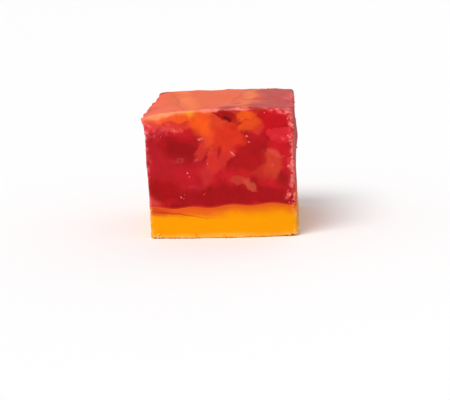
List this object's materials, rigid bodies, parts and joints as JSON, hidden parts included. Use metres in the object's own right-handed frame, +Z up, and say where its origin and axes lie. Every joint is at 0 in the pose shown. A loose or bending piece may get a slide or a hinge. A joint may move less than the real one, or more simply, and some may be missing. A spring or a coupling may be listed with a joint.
{
  "type": "fudge cube",
  "caption": "Hand-cut cube of two-layer fudge: a plain yellow layer under a thick red layer marbled with orange, with crumbled edges.",
  "frame": {"origin": "middle of the flat underside that the cube rests on", "axes": "+X to the right along the front wall, +Y from the front wall to the back wall, +Z up through the yellow layer and then the red one"},
  "size_m": [0.0267, 0.0263, 0.0228],
  "materials": {
    "yellow_fudge": "smooth satin sugar fudge, egg-yolk yellow, slightly translucent",
    "red_fudge": "smooth satin sugar fudge, deep red marbled with orange, slightly translucent"
  },
  "bodies": {
    "root": {"yellow_layer": "yellow_fudge", "red_layer": "red_fudge"}
  },
  "joints": []
}
